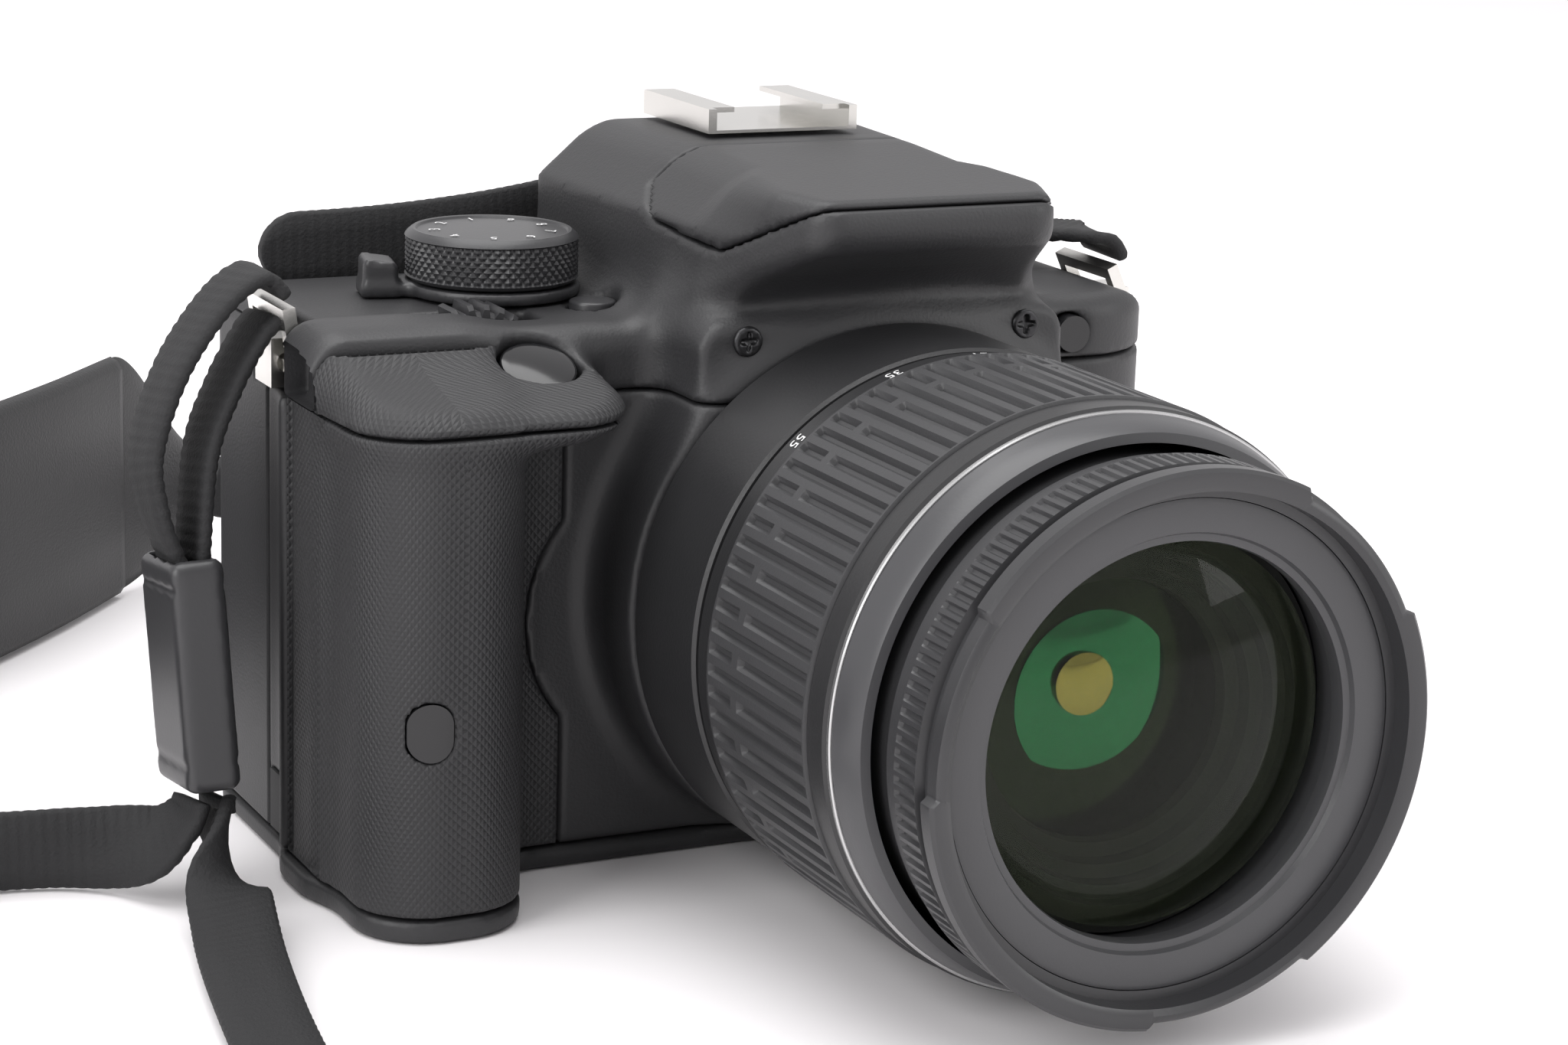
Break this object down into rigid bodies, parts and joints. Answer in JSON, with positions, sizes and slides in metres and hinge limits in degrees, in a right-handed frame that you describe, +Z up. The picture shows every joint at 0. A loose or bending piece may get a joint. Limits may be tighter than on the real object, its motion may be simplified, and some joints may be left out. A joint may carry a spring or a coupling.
{
  "type": "dslr camera",
  "caption": "Compact single lens reflex camera with zoom lens, pop-up flash, working dials, buttons and flaps, and a neck strap folded beside it.",
  "frame": {"origin": "mouth of the tripod socket in the base, 30 mm behind the lens flange and under the lens axis", "axes": "+Z up, -Y the way the lens points, +X the end away from the grip"},
  "size_m": [0.2728, 0.2454, 0.0907],
  "materials": {
    "black_plastic": "fine matte texture",
    "inner_black": "flat black",
    "grip_rubber": "fine diagonal pyramid texture",
    "dark_window": "polished dark window",
    "steel": "satin bright metal",
    "mirror": "silvered",
    "clear_glass": "clear",
    "sensor": "coated filter glass",
    "board": "circuit board",
    "battery": "smooth",
    "lamp_window": "ribbed clear lamp window",
    "dial_black": "satin with knurled side",
    "gloss_black": "polished",
    "screw_black": "black oxide",
    "lens_black": "satin",
    "zoom_rubber": "ribbed",
    "coated_glass": "green and amber coating",
    "strap_leather": "grained, stitched",
    "gloss_slider": "satin",
    "webbing": "ribbed weave"
  },
  "bodies": {
    "root": {"bottom_cover": "black_plastic", "tripod_bush": "steel", "front_cover": "black_plastic", "rear_cover": "black_plastic", "top_cover": "black_plastic", "grip_rubber": "grip_rubber", "grip_top": "grip_rubber", "front_windows": "dark_window", "mount_ring": "steel", "mirror_box": "inner_black", "focusing_screen": "clear_glass", "pentamirror": "mirror", "eyepiece_lens": "clear_glass", "eyecup": "grip_rubber", "shutter_unit": "inner_black", "sensor_unit": "sensor", "main_board": "board", "lcd_window": "dark_window", "battery": "battery", "memory_card": "battery", "hot_shoe": "steel", "screws": "screw_black", "strap_lugs": "steel", "lens_mount": "lens_black", "rear_barrel": "lens_black", "strap_pad": "strap_leather", "strap_sliders": "gloss_slider", "webbing_left": "webbing", "webbing_right": "webbing"},
    "zoom": {"zoom_ring": "lens_black", "zoom_rubber": "zoom_rubber"},
    "barrel": {"inner_barrel": "lens_black"},
    "focus_carrier": {"helicoid_sleeve": "lens_black"},
    "front_cell": {"focus_ring": "lens_black", "name_ring": "lens_black", "front_glass": "coated_glass"},
    "focus_switch": {"afmf_switch": "lens_black"},
    "dial": {"mode_dial": "dial_black"},
    "lever": {"power_lever": "black_plastic"},
    "wheel": {"command_wheel": "dial_black"},
    "shutter": {"shutter_button": "gloss_black"},
    "iso": {"iso_button": "black_plastic"},
    "popup_key": {"flash_button": "black_plastic"},
    "release_key": {"release_button": "black_plastic"},
    "menu_key": {"menu_button": "black_plastic"},
    "info_key": {"info_button": "black_plastic"},
    "live_key": {"live_button": "black_plastic"},
    "exposure_key": {"exposure_button": "black_plastic"},
    "play_key": {"play_button": "black_plastic"},
    "erase_key": {"erase_button": "black_plastic"},
    "lock_key": {"lock_button": "black_plastic"},
    "arrows": {"arrow_pad": "black_plastic"},
    "set_key": {"set_button": "black_plastic"},
    "flash": {"flash_head": "black_plastic", "flash_lamp": "lamp_window"},
    "door": {"battery_door": "black_plastic"},
    "terminal_flap": {"terminal_cover": "grip_rubber"},
    "cord_flap": {"cord_cover": "grip_rubber"},
    "mirror": {"reflex_mirror": "mirror"},
    "dioptre": {"dioptre_knob": "black_plastic"}
  },
  "joints": [
    {"name": "zoom_turn", "type": "hinge", "parent": "root", "child": "zoom", "pos_m": [0, -0.064, 0.035], "axis": [0, -1, 0], "range_deg": [0, 60]},
    {"name": "barrel_slide", "type": "slide", "parent": "root", "child": "barrel", "axis": [0, -1, 0], "range_m": [0, 0.012]},
    {"name": "focus_extend", "type": "slide", "parent": "barrel", "child": "focus_carrier", "axis": [0, -1, 0], "range_m": [0, 0.0035]},
    {"name": "focus_turn", "type": "hinge", "parent": "focus_carrier", "child": "front_cell", "pos_m": [0, -0.093, 0.035], "axis": [0, -1, 0], "range_deg": [0, 90]},
    {"name": "focus_switch_slide", "type": "slide", "parent": "root", "child": "focus_switch", "axis": [0, -1, 0], "range_m": [0, 0.003]},
    {"name": "dial_turn", "type": "hinge", "parent": "root", "child": "dial", "pos_m": [-0.038, 0.006, 0.072], "axis": [0, 0, 1], "continuous": true},
    {"name": "power_turn", "type": "hinge", "parent": "root", "child": "lever", "pos_m": [-0.038, 0.006, 0.069], "axis": [0, 0, 1], "range_deg": [0, 30]},
    {"name": "wheel_turn", "type": "hinge", "parent": "root", "child": "wheel", "pos_m": [-0.046, -0.0075, 0.0617], "axis": [0, 1, 0], "continuous": true},
    {"name": "shutter_press", "type": "slide", "parent": "root", "child": "shutter", "axis": [0, 0.4226, -0.9063], "range_m": [0, 0.001], "stiffness_N_per_m": 400},
    {"name": "iso_press", "type": "slide", "parent": "root", "child": "iso", "axis": [0, 0, -1], "range_m": [0, 0.0006], "stiffness_N_per_m": 400},
    {"name": "popup_press", "type": "slide", "parent": "root", "child": "popup_key", "axis": [0, 1, 0], "range_m": [0, 0.001], "stiffness_N_per_m": 400},
    {"name": "release_press", "type": "slide", "parent": "root", "child": "release_key", "axis": [0, 1, 0], "range_m": [0, 0.002], "stiffness_N_per_m": 400},
    {"name": "menu_press", "type": "slide", "parent": "root", "child": "menu_key", "axis": [0, -1, 0], "range_m": [0, 0.0007], "stiffness_N_per_m": 400},
    {"name": "info_press", "type": "slide", "parent": "root", "child": "info_key", "axis": [0, -1, 0], "range_m": [0, 0.0007], "stiffness_N_per_m": 400},
    {"name": "live_press", "type": "slide", "parent": "root", "child": "live_key", "axis": [0, -1, 0], "range_m": [0, 0.0007], "stiffness_N_per_m": 400},
    {"name": "exposure_press", "type": "slide", "parent": "root", "child": "exposure_key", "axis": [0, -1, 0], "range_m": [0, 0.0007], "stiffness_N_per_m": 400},
    {"name": "play_press", "type": "slide", "parent": "root", "child": "play_key", "axis": [0, -1, 0], "range_m": [0, 0.0007], "stiffness_N_per_m": 400},
    {"name": "erase_press", "type": "slide", "parent": "root", "child": "erase_key", "axis": [0, -1, 0], "range_m": [0, 0.0007], "stiffness_N_per_m": 400},
    {"name": "lock_press", "type": "slide", "parent": "root", "child": "lock_key", "axis": [0, -1, 0], "range_m": [0, 0.0007], "stiffness_N_per_m": 400},
    {"name": "arrows_press", "type": "slide", "parent": "root", "child": "arrows", "axis": [0, -1, 0], "range_m": [0, 0.0006], "stiffness_N_per_m": 400},
    {"name": "set_press", "type": "slide", "parent": "root", "child": "set_key", "axis": [0, -1, 0], "range_m": [0, 0.0006], "stiffness_N_per_m": 400},
    {"name": "flash_rise", "type": "hinge", "parent": "root", "child": "flash", "pos_m": [0, -0.0028, 0.0869], "axis": [-1, 0, 0], "range_deg": [0, 70]},
    {"name": "door_swing", "type": "hinge", "parent": "root", "child": "door", "pos_m": [-0.0435, -0.008, 0.0002], "axis": [0, -1, 0], "range_deg": [0, 90]},
    {"name": "terminal_swing", "type": "hinge", "parent": "root", "child": "terminal_flap", "pos_m": [0.0482, 0.0137, 0.032], "axis": [0, 0, 1], "range_deg": [0, 100]},
    {"name": "cord_flap_swing", "type": "hinge", "parent": "root", "child": "cord_flap", "pos_m": [-0.0689, -0.0057, 0.0075], "axis": [0, 0, 1], "range_deg": [0, 80]},
    {"name": "mirror_rise", "type": "hinge", "parent": "root", "child": "mirror", "pos_m": [0, 0.005, 0.05], "axis": [-1, 0, 0], "range_deg": [0, 45]},
    {"name": "dioptre_turn", "type": "hinge", "parent": "root", "child": "dioptre", "pos_m": [-0.0176, 0.026, 0.076], "axis": [0, 1, 0], "range_deg": [-90, 90]}
  ],
  "couplings": [
    {"joint": "barrel_slide", "follows": "zoom_turn", "m_per_rad": 0.0114},
    {"joint": "focus_extend", "follows": "focus_turn", "m_per_rad": 0.0022}
  ]
}
